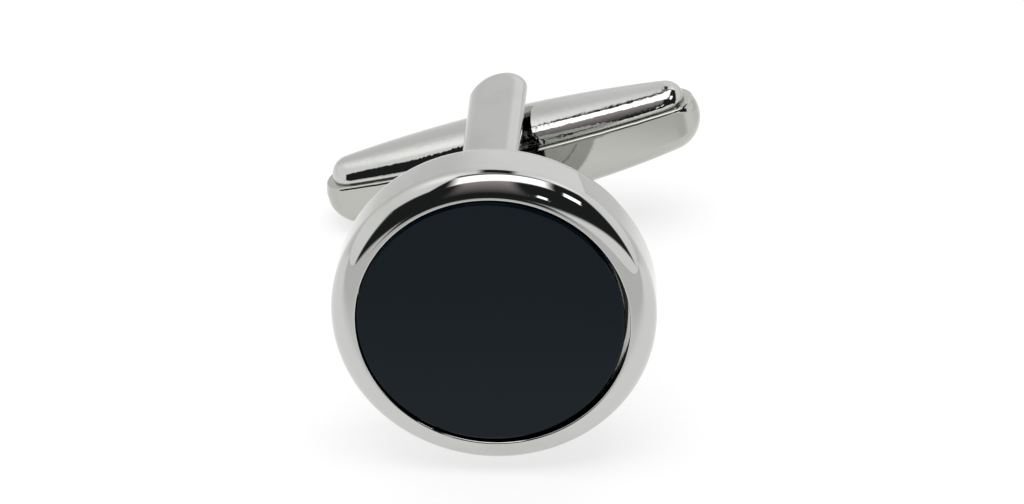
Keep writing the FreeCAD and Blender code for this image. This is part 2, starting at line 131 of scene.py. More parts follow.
# Stations that follow from these sizes.
RIM_FRONT = FACE_RADIUS - FRONT_ROUND
LIP_FLAT = RIM_FRONT - RIM_FLAT
LIP_RADIUS = LIP_FLAT - LIP_ROUND
STONE_RADIUS = LIP_RADIUS - STONE_GAP
STONE_BACK = STONE_RECESS + STONE_THICKNESS
SEAT_DEPTH = STONE_BACK + GLUE_THICKNESS
WEB_BACK = SEAT_DEPTH + WEB_THICKNESS
COVER_FRONT = WEB_BACK + HOLLOW_DEPTH
FACE_DEPTH = COVER_FRONT + COVER_THICKNESS
RIM_BACK = FACE_RADIUS - BACK_ROUND
RIM_LOW = FACE_DEPTH - BACK_ROUND
RECESS_RADIUS = RIM_BACK - BACK_FLAT
COVER_RADIUS = RECESS_RADIUS - COVER_FIT
CAVITY_RADIUS = COVER_RADIUS - LEDGE_WIDTH
FOOT_FRONT = FACE_DEPTH - FOOT_SINK
FOOT_BACK = FOOT_FRONT + FOOT_THICKNESS
LID_HALF = TOGGLE_HALF - LID_SHORT
GAP_HALF = TOGGLE_RADIUS + SIDE_CLEARANCE
ARM_OUT = GAP_HALF + ARM_THICKNESS
BEND_CENTRE = FACE_DEPTH + NECK_LENGTH + ARM_OUT
BEND_IN = BEND_CENTRE - GAP_HALF
PIVOT_Y = BEND_IN + END_CLEARANCE + TOGGLE_HALF
ARM_END = PIVOT_Y + PIN_TO_END
ARM_STRAIGHT = ARM_END - NOSE_LENGTH

# How finely round forms are cut, what counts as the same place, and up to which
# angle, in degrees, faces are shaded as one.
TURN_STEPS = 192
TOGGLE_STEPS = 160
BEND_STEPS = 64
HOLE_STEPS = 96
EDGE_STEPS = 6
SAME_PLACE = 0.0005
SLIVER = 0.02
SORT_FROM = (41, 17, 29)
NEAR = 0.002
SOFT_SHADING = 32
FLAT_SHADING = 5

# The cufflink's own frame, read from the joint and the seat of the cuff.
swivel = frame["joints"][0]
seat = [mount for mount in frame["record"]["mounts"] if mount["name"] == "cuff_seat"][0]
pivot = Vector(swivel["pos_m"])
pin_way = Vector(swivel["axis"]).normalized()
post_way = Vector(seat["axis"]).normalized()
toggle_way = post_way.cross(pin_way).normalized()
lip_centre = pivot - post_way * PIVOT_Y * MM


def frame_at(spot):
    """Placement that carries a piece from its millimetres to its place in the frame."""
    turn = Matrix((toggle_way, post_way, pin_way)).transposed().to_4x4()
    return Matrix.Translation(spot) @ turn @ Matrix.Scale(MM, 4)


FACE_PLACE = frame_at(lip_centre)
TOGGLE_PLACE = frame_at(pivot)


def arc(centre, radius, start, stop, steps):
    """Points on an arc, both ends included; angles in degrees."""
    points = []
    for step in range(steps + 1):
        angle = math.radians(start + (stop - start) * step / steps)
        points.append((centre[0] + radius * math.cos(angle), centre[1] + radius * math.sin(angle)))
    return points


def edit(piece):
    """Opens a piece for editing with nothing selected."""
    bpy.ops.object.select_all(action="DESELECT")
    piece.select_set(True)
    bpy.context.view_layer.objects.active = piece
    bpy.ops.object.mode_set(mode="EDIT")
    bpy.ops.mesh.select_all(action="DESELECT")


def close_edit():
    bpy.ops.object.mode_set(mode="OBJECT")


def pick(kind, test):
    """Selects what passes the test: faces or edges of the piece that is being edited."""
    piece = bpy.context.object
    bpy.ops.mesh.select_mode(type=kind)
    bpy.ops.mesh.select_all(action="DESELECT")
    mesh = bmesh.from_edit_mesh(piece.data)
    for item in mesh.faces if kind == "FACE" else mesh.edges:
        if test(item):
            item.select_set(True)
    mesh.select_flush_mode()
    bmesh.update_edit_mesh(piece.data)


def drawn(name, points):
    """Draws a chain of points by extruding one point along it; leaves the piece open."""
    bpy.ops.object.select_all(action="DESELECT")
    bpy.ops.mesh.primitive_plane_add(size=1)
    piece = bpy.context.object
    piece.name = name
    piece.data.name = name
    bpy.ops.object.mode_set(mode="EDIT")
    bpy.ops.mesh.select_mode(type="VERT")
    bpy.ops.mesh.merge(type="CENTER")
    bpy.ops.transform.translate(value=points[0])
    for here, after in zip(points, points[1:]):
        step = [b - a for a, b in zip(here, after)]
        bpy.ops.mesh.extrude_vertices_move(TRANSFORM_OT_translate={"value": step})
    return piece


def turned(name, outline, steps, axis, angle=math.tau):
    """Turns an outline about the x or the y axis, a full circle if no angle is given."""
    piece = drawn(name, [(x, y, 0) for x, y in outline])
    bpy.ops.mesh.select_all(action="SELECT")
    bpy.ops.mesh.spin(steps=steps, angle=angle, center=(0, 0, 0), axis=axis)
    bpy.ops.mesh.select_all(action="SELECT")
    bpy.ops.mesh.remove_doubles(threshold=SAME_PLACE)
    bpy.ops.mesh.normals_make_consistent(inside=False)
    close_edit()
    return piece


def rod(radius, low, high, way):
    """A plain round bar, to cut a piece with or to join to it."""
    bpy.ops.object.select_all(action="DESELECT")
    bpy.ops.mesh.primitive_cylinder_add(vertices=HOLE_STEPS, radius=radius, depth=high - low)
    bar = bpy.context.object
    if way == "y":
        bar.rotation_euler = (-math.pi / 2, 0, 0)
        bar.location = (0, (low + high) / 2, 0)
    elif way == "x":
        bar.rotation_euler = (0, math.pi / 2, 0)
        bar.location = ((low + high) / 2, 0, 0)
    else:
        bar.location = (0, 0, (low + high) / 2)
    return bar


def combine(piece, tool, operation):
    """Cuts a piece with a tool, or joins the two, and removes the tool."""
    bpy.ops.object.select_all(action="DESELECT")
    bpy.context.view_layer.objects.active = piece
    change = piece.modifiers.new("change", "BOOLEAN")
    change.operation = operation
    change.solver = "EXACT"
    change.object = tool
    bpy.ops.object.modifier_apply(modifier=change.name)
    bpy.data.objects.remove(tool)


def soften(piece, width, segments, angle):
    """Breaks the sharp edges of a piece."""
    bpy.context.view_layer.objects.active = piece
    change = piece.modifiers.new("soften", "BEVEL")
    change.width = width
    change.segments = segments
    change.limit_method = "ANGLE"
    change.angle_limit = math.radians(angle)
    bpy.ops.object.modifier_apply(modifier=change.name)


def finish(piece, place, body, node, material, angle=SOFT_SHADING):
    """Shades a piece, lays it down, and lets it stand for its CAD node."""
    bpy.ops.object.select_all(action="DESELECT")
    piece.select_set(True)
    bpy.context.view_layer.objects.active = piece
    bpy.ops.object.shade_smooth_by_angle(angle=math.radians(angle))
    piece.matrix_world = place
    bpy.ops.object.transform_apply(location=True, rotation=True, scale=True)
    piece.data.materials.clear()
    piece.data.materials.append(material)
    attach(piece, body)
    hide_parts(node)
    return piece


class Wire:
    """One output of a shader node; sums and products on it add Math nodes."""

    def __init__(self, bench, socket):
        self.bench = bench
        self.socket = socket

    def math(self, operation, first, second):
        made = self.bench.node("ShaderNodeMath", {"operation": operation}, {0: first, 1: second})
        return made["Value"]

    def __add__(self, other):
        return self.math("ADD", self, other)

    def __radd__(self, other):
        return self.math("ADD", other, self)

    def __sub__(self, other):
        return self.math("SUBTRACT", self, other)

    def __rsub__(self, other):
        return self.math("SUBTRACT", other, self)

    def __mul__(self, other):
        return self.math("MULTIPLY", self, other)

    def __rmul__(self, other):
        return self.math("MULTIPLY", other, self)

    def __truediv__(self, other):
        return self.math("DIVIDE", self, other)

    def most(self, other):
        return self.math("MAXIMUM", self, other)

    def least(self, other):
        return self.math("MINIMUM", self, other)

    def size(self):
        return self.math("ABSOLUTE", self, 0.0)

    def root(self):
        return self.math("SQRT", self, 0.0)

    def arc_cosine(self):
        return self.math("ARCCOSINE", self, 0.0)


class Bench:
    """Adds nodes to one shader."""

    def __init__(self, tree):
        self.tree = tree
        tree.nodes.clear()

    def node(self, kind, settings=None, sockets=None):
        """Adds a node: first its settings, then values or wires for its sockets."""
        made = self.tree.nodes.new(kind)
        for name, setting in (settings or {}).items():
            setattr(made, name, setting)
        for name, value in (sockets or {}).items():
            if isinstance(value, Wire):
                self.tree.links.new(value.socket, made.inputs[name])
            else:
                made.inputs[name].default_value = value
        return {item.name: Wire(self, item) for item in made.outputs if item.enabled}

    def ease(self, value, low, high):
        """0 below low, 1 above high, and a soft step between."""
        return self.node(
            "ShaderNodeMapRange",
            {"interpolation_type": "SMOOTHSTEP"},
            {"Value": value, "From Min": low, "From Max": high},
        )["Result"]

    def blend(self, share, first, second):
        """Mixes two colours."""
        return self.node(
            "ShaderNodeMix",
            {"data_type": "RGBA"},
            {0: share, 6: first, 7: second},
        )["Result"]

    def patch(self, right, front, middle, half, soft):
        """1 inside a rectangle and 0 outside, with a soft border."""
        wide = half[0] - (right - middle[0]).size()
        deep = half[1] - (front - middle[1]).size()
        return self.ease(wide.least(deep), -soft / 2, soft / 2)

    def spot(self, right, front, middle, radius):
        """1 in the middle of a round spot, and fading to 0 at its radius."""
        right = right - middle[0]
        front = front - middle[1]
        return self.ease((right * right + front * front).root(), radius, 0.0)


def new_material(name):
    material = bpy.data.materials.new(name)
    material.use_nodes = True
    return material, Bench(material.node_tree)


def grey(level):
    return (level, level, level, 1.0)


# Plating: bright metal with a breath of smudges, and the soft waviness of a
# cast part that was polished before it was plated. The tray's copy is darker and a little warmer: painted shade.
PLATE_COLOUR = (0.528, 0.534, 0.516, 1.0)
PLATE_DULL = (0.492, 0.496, 0.476, 1.0)
# The tray's colours are the same plating with painted shade: darker and a little warmer.
TRAY_SHADED_COLOUR = (0.450, 0.458, 0.424, 1.0)
TRAY_SHADED_DULL = (0.418, 0.424, 0.390, 1.0)
SMUDGE_SCALE = 260.0
SPECK_SCALE = 5200.0
WAVE_SCALE = 420.0
PEBBLE_SCALE = 3600.0


def plating(name, wave_height, pebble_height, roughness, colour=PLATE_COLOUR, dull=PLATE_DULL):
    """Mirror plating; heights of the waviness in metres."""
    material, bench = new_material(name)
    place = bench.node("ShaderNodeTexCoord")["Object"]
    smudge = bench.node(
        "ShaderNodeTexNoise",
        {},
        {"Vector": place, "Scale": SMUDGE_SCALE, "Detail": 4.0, "Roughness": 0.55},
    )["Fac"]
    smear = bench.ease(smudge, 0.48, 0.72)
    speck = bench.node(
        "ShaderNodeTexNoise", {}, {"Vector": place, "Scale": SPECK_SCALE, "Detail": 2.0}
    )["Fac"]
    dust = bench.ease(speck, 0.66, 0.74)
    wave = bench.node(
        "ShaderNodeTexNoise", {}, {"Vector": place, "Scale": WAVE_SCALE, "Detail": 1.0}
    )["Fac"]
    pebble = bench.node(
        "ShaderNodeTexNoise", {}, {"Vector": place, "Scale": PEBBLE_SCALE, "Detail": 1.0}
    )["Fac"]
    waved = bench.node("ShaderNodeBump", {}, {"Height": wave, "Distance": wave_height})["Normal"]
    skin = bench.node(
        "ShaderNodeBump", {}, {"Height": pebble, "Distance": pebble_height, "Normal": waved}
    )["Normal"]
    shader = bench.node(
        "ShaderNodeBsdfPrincipled",
        {},
        {
            "Base Color": bench.blend(smear, colour, dull),
            "Metallic": 1.0,
            "Roughness": roughness + 0.05 * smear + 0.05 * dust,
            "Normal": skin,
        },
    )["BSDF"]
    bench.node("ShaderNodeOutputMaterial", {}, {"Surface": shader})
    return material


STONE_DEEP = (0.0004, 0.0095, 0.0175, 1.0)
STONE_CLOUD = (0.0012, 0.0115, 0.0200, 1.0)


def polished_stone():
    """Black stone with a glassy polish and the faintest cloud in its depth."""
    material, bench = new_material("polished_black_stone")
    place = bench.node("ShaderNodeTexCoord")["Object"]
    cloud = bench.node(
        "ShaderNodeTexNoise", {}, {"Vector": place, "Scale": 180.0, "Detail": 3.0}
    )["Fac"]
    wipe = bench.node(
        "ShaderNodeTexNoise", {}, {"Vector": place, "Scale": 900.0, "Detail": 3.0}
    )["Fac"]
    shader = bench.node(
        "ShaderNodeBsdfPrincipled",
        {},
        {
            "Base Color": bench.blend(cloud, STONE_DEEP, STONE_CLOUD),
            "Roughness": 0.05 + 0.04 * bench.ease(wipe, 0.5, 0.8),
            "IOR": 1.26,
        },
    )["BSDF"]
    bench.node("ShaderNodeOutputMaterial", {}, {"Surface": shader})
    return material


def set_adhesive():
    """Cured adhesive, slightly glossy and honey grey."""
    material, bench = new_material("set_adhesive")
    place = bench.node("ShaderNodeTexCoord")["Object"]
    flow = bench.node(
        "ShaderNodeTexNoise", {}, {"Vector": place, "Scale": 700.0, "Detail": 3.0}
    )["Fac"]
    shader = bench.node(
        "ShaderNodeBsdfPrincipled",
        {},
        {
            "Base Color": bench.blend(flow, (0.30, 0.27, 0.20, 1.0), (0.38, 0.35, 0.28, 1.0)),
            "Roughness": 0.3 + 0.2 * flow,
        },
    )["BSDF"]
    bench.node("ShaderNodeOutputMaterial", {}, {"Surface": shader})
    return material


def rolled_spring():
    """Spring strip, rolled, with fine lines along the toggle."""
    material, bench = new_material("rolled_spring_steel")
    place = bench.node("ShaderNodeTexCoord")["Object"]
    drawn_out = bench.node(
        "ShaderNodeMapping", {}, {"Vector": place, "Scale": (0.05, 1.0, 1.0)}
    )["Vector"]
    lines = bench.node(
        "ShaderNodeTexNoise", {}, {"Vector": drawn_out, "Scale": 9000.0, "Detail": 2.0}
    )["Fac"]
    shader = bench.node(
        "ShaderNodeBsdfPrincipled",
        {},
        {
            "Base Color": bench.blend(lines, (0.36, 0.36, 0.37, 1.0), (0.46, 0.46, 0.46, 1.0)),
            "Metallic": 1.0,
            "Roughness": 0.2 + 0.15 * lines,
        },
    )["BSDF"]
    bench.node("ShaderNodeOutputMaterial", {}, {"Surface": shader})
    return material


cup_plating = plating("cup_plating", 0.9e-6, 0.05e-6, 0.035)
yoke_plating = plating("yoke_plating", 1.5e-6, 0.10e-6, 0.05)
# The tray's plating is a darker, warmer copy of the same metal: painted shade.
tray_plating_painted_shade = plating("tray_plating_painted_shade", 2.4e-6, 0.25e-6, 0.04, TRAY_SHADED_COLOUR, TRAY_SHADED_DULL)
lid_plating = plating("lid_plating", 3.0e-6, 8.5e-6, 0.04)
stone_black = polished_stone()


def face_cup():
    outline = [(0, SEAT_DEPTH), (LIP_RADIUS, SEAT_DEPTH)]
    outline += arc((LIP_FLAT, LIP_ROUND), LIP_ROUND, 180, 270, 8)
    outline += arc((RIM_FRONT, FRONT_ROUND), FRONT_ROUND, -90, 0, 32)
    outline += arc((RIM_BACK, RIM_LOW), BACK_ROUND, 0, 90, 24)
    outline += [
        (RECESS_RADIUS, FACE_DEPTH),
        (RECESS_RADIUS, COVER_FRONT),
        (CAVITY_RADIUS, COVER_FRONT),
        (CAVITY_RADIUS, WEB_BACK),
        (0, WEB_BACK),
    ]
    piece = turned("face_cup", outline, TURN_STEPS, (0, 1, 0))
    return finish(piece, FACE_PLACE, "face", "bezel_cup", cup_plating)


def black_stone():
    outline = [
        (0, STONE_RECESS),
        (STONE_RADIUS - BEVEL_WIDTH, STONE_RECESS),
        (STONE_RADIUS, STONE_RECESS + BEVEL_DROP),
        (STONE_RADIUS, STONE_BACK),
        (0, STONE_BACK),
    ]
    piece = turned("black_stone", outline, TURN_STEPS, (0, 1, 0))
    soften(piece, STONE_EDGE, 2, 20)
    place = FACE_PLACE @ Matrix.Translation(STONE_SHIFT)
    return finish(piece, place, "face", "inlay_stone", stone_black, FLAT_SHADING)


def closing_cover():
    bore = TENON_RADIUS + TENON_FIT
    sink = FOOT_RADIUS + TENON_FIT
    outline = [
        (bore, COVER_FRONT),
        (COVER_RADIUS, COVER_FRONT),
        (COVER_RADIUS, FACE_DEPTH),
        (sink, FACE_DEPTH),
        (sink, FOOT_FRONT),
        (bore, FOOT_FRONT),
        (bore, COVER_FRONT),
    ]
    piece = turned("closing_cover", outline, TURN_STEPS, (0, 1, 0))
    soften(piece, COVER_EDGE, 3, 40)
    return finish(piece, FACE_PLACE, "face", "back_cover", yoke_plating)


def turned_stem():
    outline = [
        (0, COVER_FRONT - TAIL_THICKNESS),
        (TAIL_RADIUS, COVER_FRONT - TAIL_THICKNESS),
        (TAIL_RADIUS, COVER_FRONT),
        (TENON_RADIUS, COVER_FRONT),
        (TENON_RADIUS, FOOT_FRONT),
        (FOOT_RADIUS, FOOT_FRONT),
        (FOOT_RADIUS, FOOT_BACK),
    ]
    outline += arc(
        (NECK_RADIUS + NECK_FLARE, FOOT_BACK + NECK_FLARE), NECK_FLARE, 270, 180, 12
    )
    outline += [(NECK_RADIUS, BEND_IN), (0, BEND_IN)]
    piece = turned("turned_stem", outline, HOLE_STEPS, (0, 1, 0))
    soften(piece, STEM_EDGE, 4, 50)
    saddle = rod(ARM_OUT, -FOOT_RADIUS, FOOT_RADIUS, "x")
    saddle.location.y = BEND_CENTRE
    combine(piece, saddle, "DIFFERENCE")
    combine(piece, rod(RIVET_RADIUS, FOOT_BACK, BEND_IN - RIVET_SHORT, "y"), "UNION")
    return finish(piece, FACE_PLACE, "face", "stem", yoke_plating)


def bent_yoke():
    """A strip bent to a U: one arm is drawn and rounded, mirrored, and spun round."""
    nose_y = ARM_END - NOSE_RADIUS
    nose_run = nose_y - ARM_STRAIGHT
    shoulder = (ARM_HALF**2 + nose_run**2 - NOSE_RADIUS**2) / (2 * (ARM_HALF - NOSE_RADIUS))
    join = math.degrees(math.atan2(nose_run, shoulder - ARM_HALF))
    side = arc((ARM_HALF - shoulder, ARM_STRAIGHT), shoulder, 0, join, 14)
    tip = arc((0, nose_y), NOSE_RADIUS, join, 180 - join, 24)
    far_side = [(-x, y) for x, y in reversed(side)]
    outline = [(ARM_HALF, BEND_CENTRE)] + side + tip[1:-1] + far_side + [(-ARM_HALF, BEND_CENTRE)]
    piece = drawn("bent_yoke", [(x, y, ARM_OUT) for x, y in outline])
    bpy.ops.mesh.select_all(action="SELECT")
    bpy.ops.mesh.edge_face_add()
    blank = ARM_THICKNESS / ARM_PILLOW
    bpy.ops.mesh.extrude_region_move(TRANSFORM_OT_translate={"value": (0, 0, -blank)})

    def on_outer_edge(edge):
        ends = [point.co for point in edge.verts]
        high = all(abs(spot.z - ARM_OUT) < NEAR for spot in ends)
        across = all(abs(spot.y - BEND_CENTRE) < NEAR for spot in ends)
        return high and not across

    pick("EDGE", on_outer_edge)
    bpy.ops.mesh.bevel(offset=ARM_ROUND, segments=12, affect="EDGES", clamp_overlap=False)
    pick("FACE", lambda face: abs(face.calc_center_median().y - BEND_CENTRE) < NEAR)
    bpy.ops.mesh.delete(type="ONLY_FACE")
    for point in bmesh.from_edit_mesh(piece.data).verts:
        point.co.x *= 1 + ARM_FLARE * (point.co.y - BEND_CENTRE) / (ARM_END - BEND_CENTRE)
        point.co.z = ARM_OUT - (ARM_OUT - point.co.z) * ARM_PILLOW
    bmesh.update_edit_mesh(piece.data)
    bpy.ops.mesh.select_all(action="SELECT")
    bpy.ops.mesh.duplicate()
    bpy.ops.transform.resize(value=(1, 1, -1), center_override=(0, 0, 0))
    pick(
        "EDGE",
        lambda edge: all(abs(p.co.y - BEND_CENTRE) < NEAR and p.co.z > 0 for p in edge.verts),
    )
    bpy.ops.mesh.spin(
        steps=BEND_STEPS, angle=-math.pi, center=(0, BEND_CENTRE, 0), axis=(1, 0, 0)
    )
    bpy.ops.mesh.select_all(action="SELECT")
    bpy.ops.mesh.remove_doubles(threshold=SAME_PLACE)
    bpy.ops.mesh.normals_make_consistent(inside=False)
    close_edit()
    pin_hole = rod(PIN_RADIUS, -2 * ARM_OUT, 2 * ARM_OUT, "z")
    pin_hole.location.y = PIVOT_Y
    combine(piece, pin_hole, "DIFFERENCE")
    combine(piece, rod(RIVET_RADIUS + RIVET_FIT, FACE_DEPTH, BEND_CENTRE, "y"), "DIFFERENCE")
    return finish(piece, FACE_PLACE, "face", "yoke", yoke_plating)


def swivel_pin():
    """The pin lies along z; it is turned about y and then stood up."""
    outline = [(0, -ARM_OUT), (PIN_RADIUS, -ARM_OUT), (PIN_RADIUS, ARM_OUT), (0, ARM_OUT)]
    piece = turned("swivel_pin", outline, HOLE_STEPS, (0, 1, 0))
    edit(piece)
    bpy.ops.mesh.select_all(action="SELECT")
    bpy.ops.transform.rotate(value=math.pi / 2, orient_axis="X", center_override=(0, 0, 0))
    close_edit()
    return finish(piece, TOGGLE_PLACE, "face", "pivot_pin", yoke_plating)


def torpedo(half, radius, end):
    """Outline of a torpedo from one tip to the other: round ends and a barrel."""
    centre = half - end
    barrel = (centre**2 + radius**2 - end**2) / (2 * (radius - end))
    low = radius - barrel
    lean = math.degrees(math.atan2(centre, -low))
    tail = arc((-centre, 0), end, 180, 90 + lean, 28)
    belly = arc((0, low), barrel, 90 + lean, 90 - lean, 64)
    nose = arc((centre, 0), end, 90 - lean, 0, 28)
    return tail + belly[1:-1] + nose


def torpedo_at(x, half, radius, end):
    """Half width of a torpedo at a place along it."""
    centre = half - end
    barrel = (centre**2 + radius**2 - end**2) / (2 * (radius - end))
    if abs(x) > centre * barrel / (barrel - end):
        return math.sqrt(max(end**2 - (abs(x) - centre) ** 2, 0))
    return radius - barrel + math.sqrt(barrel**2 - x**2)


def straighten(piece):
    """Draws the round flanks of the tray in to upright walls."""
    radius = math.sqrt(TOGGLE_RADIUS**2 - SEAM_HEIGHT**2) - FLANK_INSET
    end = math.sqrt(TOGGLE_END**2 - SEAM_HEIGHT**2) - FLANK_INSET
    for point in piece.data.vertices:
        room = torpedo_at(point.co.x, TOGGLE_HALF, radius, end)
        point.co.y = max(-room, min(room, point.co.y))


def arch(piece):
    """Gives the half turned lid its section: steep flanks, round shoulders and a low dome."""
    foot = SEAM_HEIGHT + LID_EDGE
    crown = LID_TOP - foot
    for point in piece.data.vertices:
        height = torpedo_at(point.co.x, LID_HALF, crown, CROWN_END)
        width = torpedo_at(point.co.x, LID_HALF, LID_WIDTH, LID_END)
        shoulder = min(SHOULDER * width, SHOULDER_LIMIT * height)
        reach = width - shoulder
        dome = (reach**2 + height**2 - shoulder**2) / max(2 * (height - shoulder), NEAR)
        rise = abs(point.co.z)
        side = abs(point.co.y)
        angle = math.atan2(rise, side) if rise + side > NEAR else 0
        if angle < math.atan2(dome - height, reach):
            out = reach + shoulder * math.cos(angle)
            up = shoulder * math.sin(angle)
        else:
            out = dome * math.cos(angle)
            up = height - dome + dome * math.sin(angle)
        point.co.y = math.copysign(out, point.co.y)
        point.co.z = foot + up


def rolled_edge(radius, lift):
    """Rounds the edge of the selected cap: it is inset and raised in small steps."""
    angles = [math.pi / 2 * step / EDGE_STEPS for step in range(EDGE_STEPS + 1)]
    for here, after in zip(angles, angles[1:]):
        bpy.ops.mesh.inset(thickness=radius * (math.cos(here) - math.cos(after)))
        rise = radius * (math.sin(after) - math.sin(here))
        bpy.ops.transform.translate(value=(0, 0, lift * rise))


def is_cap(face):
    return len(face.verts) > TOGGLE_STEPS / 2


def part_at_seam(piece):
    """Parts the tray just below the seam and rolls the edge that is left there.

    Points are sorted before slivers are merged, so that runs differ as little as possible.
    """
    cut = SEAM_HEIGHT - TRAY_EDGE
    edit(piece)
    bpy.ops.mesh.select_all(action="SELECT")
    bpy.ops.mesh.bisect(
        plane_co=(0, 0, cut),
        plane_no=(0, 0, 1),
        use_fill=True,
        clear_outer=True,
    )
    bpy.context.scene.cursor.location = SORT_FROM
    bpy.ops.mesh.select_all(action="SELECT")
    bpy.ops.mesh.sort_elements(type="CURSOR_DISTANCE", elements={"VERT"})
    pick("EDGE", lambda edge: all(abs(p.co.z - cut) < SLIVER for p in edge.verts))
    bpy.ops.mesh.remove_doubles(threshold=SLIVER)
    bpy.context.scene.cursor.location = (0, 0, 0)
    pick("FACE", is_cap)
    rolled_edge(TRAY_EDGE, 1)
    bpy.ops.mesh.select_all(action="SELECT")
    bpy.ops.mesh.normals_make_consistent(inside=False)
    close_edit()


def close_at_seam(piece):
    """Closes the half turned lid from below and rolls its edge down to the seam."""
    edit(piece)
    pick("EDGE", lambda edge: edge.is_boundary)
    bpy.ops.mesh.edge_face_add()
    pick("FACE", is_cap)
    rolled_edge(LID_EDGE, -1)
    bpy.ops.mesh.select_all(action="SELECT")
    bpy.ops.mesh.normals_make_consistent(inside=False)
    close_edit()


def hollow_out(piece, half, radius, end):
    """Hollows a shell and drills it for the pin."""
    wall = SHELL_THICKNESS
    hollow = turned("hollow", torpedo(half - wall, radius - wall, end - wall), HOLE_STEPS, (1, 0, 0))
    combine(piece, hollow, "DIFFERENCE")
    combine(piece, rod(PIN_RADIUS + PIN_FIT, -ARM_OUT, ARM_OUT, "z"), "DIFFERENCE")


def tray_shell():
    outline = torpedo(TOGGLE_HALF, TOGGLE_RADIUS, TOGGLE_END)
    piece = turned("tray_shell", outline, TOGGLE_STEPS, (1, 0, 0))
    straighten(piece)
    part_at_seam(piece)
    hollow_out(piece, TOGGLE_HALF, TOGGLE_RADIUS, TOGGLE_END)
    return finish(piece, TOGGLE_PLACE, "toggle", "toggle_tray", tray_plating_painted_shade)


def lid_shell():
    outline = torpedo(LID_HALF, LID_WIDTH, LID_END)
    piece = turned("lid_shell", outline, TOGGLE_STEPS // 2, (1, 0, 0), math.pi)
    arch(piece)
    close_at_seam(piece)
    hollow_out(piece, LID_HALF, TOGGLE_RADIUS - LID_INSET, TOGGLE_END - LID_INSET)
    return finish(piece, TOGGLE_PLACE, "toggle", "toggle_lid", lid_plating)


face_cup()
black_stone()
closing_cover()
turned_stem()
bent_yoke()
swivel_pin()
tray_shell()
lid_shell()

adhesive = set_adhesive()
spring_steel = rolled_spring()
for node, material in (
    ("adhesive_bed", adhesive),
    ("spring_outer", spring_steel),
    ("spring_inner", spring_steel),
):
    for place in frame["nodes"][node].material_slots:
        place.material = material

# Studio, as the polished rim shows it: a white booth, open in front and above to
# a dark room. Places in it are in degrees from straight up, to the right and to
# the front.
WALL = grey(1.08)
LIT_WALL = grey(1.5)
BACK_WALL = grey(0.84)
DARK_ROOM = (0.020, 0.021, 0.022, 1.0)
WARM_SCREEN = (0.47, 0.42, 0.43, 1.0)
LIGHT = grey(2.6)

# Patches of the studio: middle, half size and width of the soft border. A glow has a
# middle and a radius.
GREY_BACK = ((-38, -80), (24, 34), 24)
DARK_HATCH = ((0, -39), (9, 11), 6)
SCREEN_PATCH = ((-5, 48), (13, 36), 7)
LIGHT_PATCH = ((3, -4), (24, 16), 9)
BIG_WINDOW = ((41, 4), (5, 8), 1.5)
SMALL_WINDOW = ((32.5, 57.5), (2, 5), 1)
LEFT_GLOW = ((-29, -24), 22)
RIGHT_GLOW = ((33, -40), 22)
LIGHT_SLANT = 0.34
BIG_WINDOW_SLANT = 0.09
SMALL_WINDOW_SLANT = 0.29

# The screen fades to the front: its share straight up, and the loss per degree.
FADE_START = 1.3
FADE_LOSS = 0.0175

# Edges of the opening. Each is a line: its factors to the right and to the front,
# and its start. A place where their sum is positive lies inside.
NEAR_RIGHT_EDGE = (-0.85, -1.0, 93.2)
NEAR_LEFT_EDGE = (0.62, -1.0, 104.96)
LEFT_EDGE = (1.0, 0.3, 50.0)
RIGHT_EDGE = (-1.0, 0.68, 71.0)
FAR_EDGE = (0.24, 1.0, 27.0)
FAR_LEFT_CUT = (2.9, 1.0, 81.0)
FAR_LEFT_LIMIT = (0.0, 1.0, -18.0)
OPENING_BORDER = (-4, 4)

# Straight up has no side, so its level part is kept above nothing.
LEAST_LEVEL = 0.001

# Floor, in metres: its light for the camera, and how that changes for mirrors. Mirrors see painted shade on it to
# the front and the back, and a painted dark area further ahead; the plane itself goes on there.
FLOOR_SIZE = 8.0
FLOOR_COLOUR = grey(0.35)
FLOOR_LIFT = 0.7
MIRROR_LIFT = 0.06
# Painted shade that mirrors see on the floor to the front and the back: its depth and where it runs.
FRONT_PAINTED_SHADE = 0.32
FRONT_PAINTED_SHADE_RUN = (0.022, 0.05)
BACK_PAINTED_SHADE = 0.24
BACK_PAINTED_SHADE_RUN = (0.0, 0.04)
# Painted dark area that mirrors see on the floor ahead: where it starts, its width, slant and border.
PAINTED_DARK_RUN = (0.085, 0.105)
PAINTED_DARK_WIDTH = 0.17
PAINTED_DARK_SLANT = 0.1
PAINTED_DARK_BORDER = (-0.01, 0.01)

# Soft light from the ceiling, in metres.
LAMP_SPOT = (0.08, 0.1, 1.5)
LAMP_TARGET = (0.08, 0.1, 0)
LAMP_WIDTH = 1.34
LAMP_DEPTH = 0.86
LAMP_RADIANCE = 1.2


def inside_edge(right, front, edge):
    """How far a place lies inside one edge of the opening."""
    to_right, to_front, start = edge
    return to_right * right + to_front * front + start


